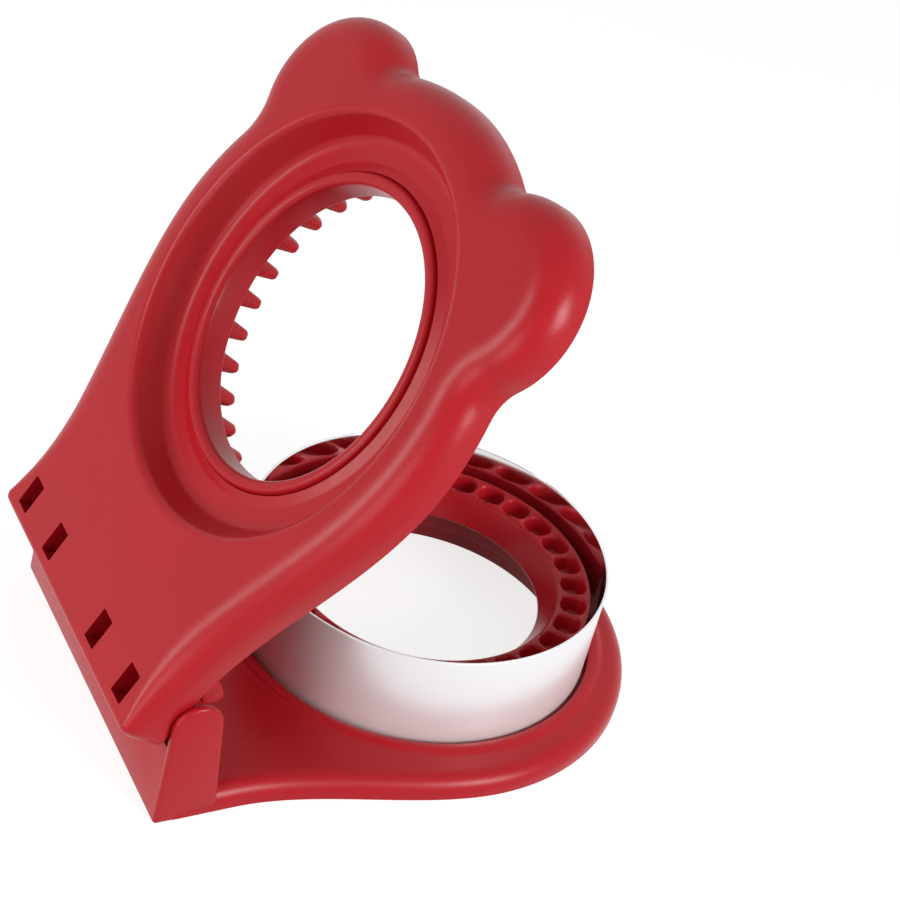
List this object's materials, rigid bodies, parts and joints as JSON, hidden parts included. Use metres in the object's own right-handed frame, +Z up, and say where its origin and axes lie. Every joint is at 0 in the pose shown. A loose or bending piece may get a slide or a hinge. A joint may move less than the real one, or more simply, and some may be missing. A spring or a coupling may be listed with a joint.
{
  "type": "sandwich cutter and sealer",
  "caption": "Hand-pressed round sandwich cutter: a moulded base with an upright steel cutting band and a scalloped crimping ring, and a hinged lid with a toothed press ring.",
  "frame": {"origin": "on the table under the centre of the bounding box of the object with its lid open", "axes": "+X along the hinge axis, +Y from the hinge end towards the round end, +Z up"},
  "size_m": [0.121, 0.1492, 0.1492],
  "materials": {
    "red_plastic": "satin moulded, one red for base, crimp ring, lid and press ring",
    "polished_steel": "polished thin strip"
  },
  "bodies": {
    "base_body": {"base": "red_plastic", "cutter_band": "polished_steel", "crimp_ring": "red_plastic", "hinge_rod": "red_plastic"},
    "lid_body": {"lid": "red_plastic", "press_ring": "red_plastic"}
  },
  "joints": [
    {"name": "lid_hinge", "type": "hinge", "parent": "base_body", "child": "lid_body", "pos_m": [0, -0.05842, 0.0253], "axis": [1, 0, 0], "range_deg": [-60, 0]}
  ]
}
